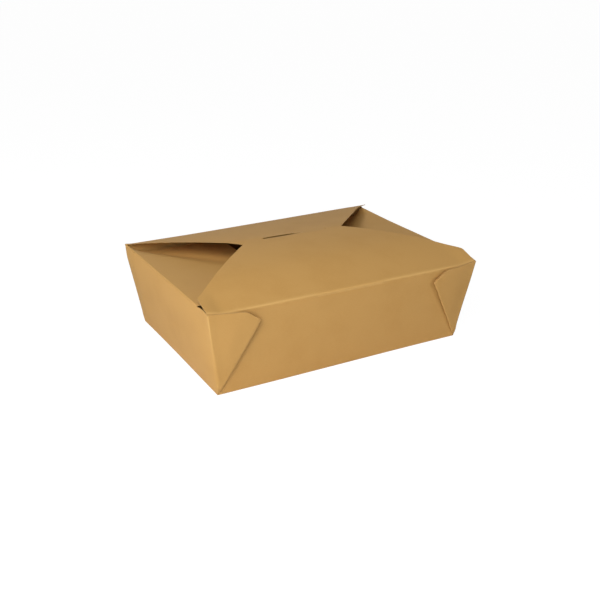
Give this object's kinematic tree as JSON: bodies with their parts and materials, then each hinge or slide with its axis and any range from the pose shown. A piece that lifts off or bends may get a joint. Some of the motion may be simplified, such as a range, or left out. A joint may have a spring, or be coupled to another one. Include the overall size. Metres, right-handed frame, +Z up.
{
  "type": "folding food box",
  "caption": "Closed take-out food box folded from plain kraft board, with outward-leaning walls, glued corner webs and a hinged top flap whose tongue tucks into a slit.",
  "frame": {"origin": "centre of the base's underside, on the surface that the box stands on", "axes": "+Z up, +X along the length, -Y towards the front, where the top flap turns on its crease"},
  "size_m": [0.2148, 0.1594, 0.0755],
  "materials": {
    "kraft_board": "matte"
  },
  "bodies": {
    "box": {"carton": "kraft_board"},
    "front_flap": {"front_flap": "kraft_board"}
  },
  "joints": [
    {"name": "front_flap_hinge", "type": "hinge", "parent": "box", "child": "front_flap", "pos_m": [0, -0.07874, 0.06277], "axis": [1, 0, 0], "range_deg": [0, 200]}
  ]
}
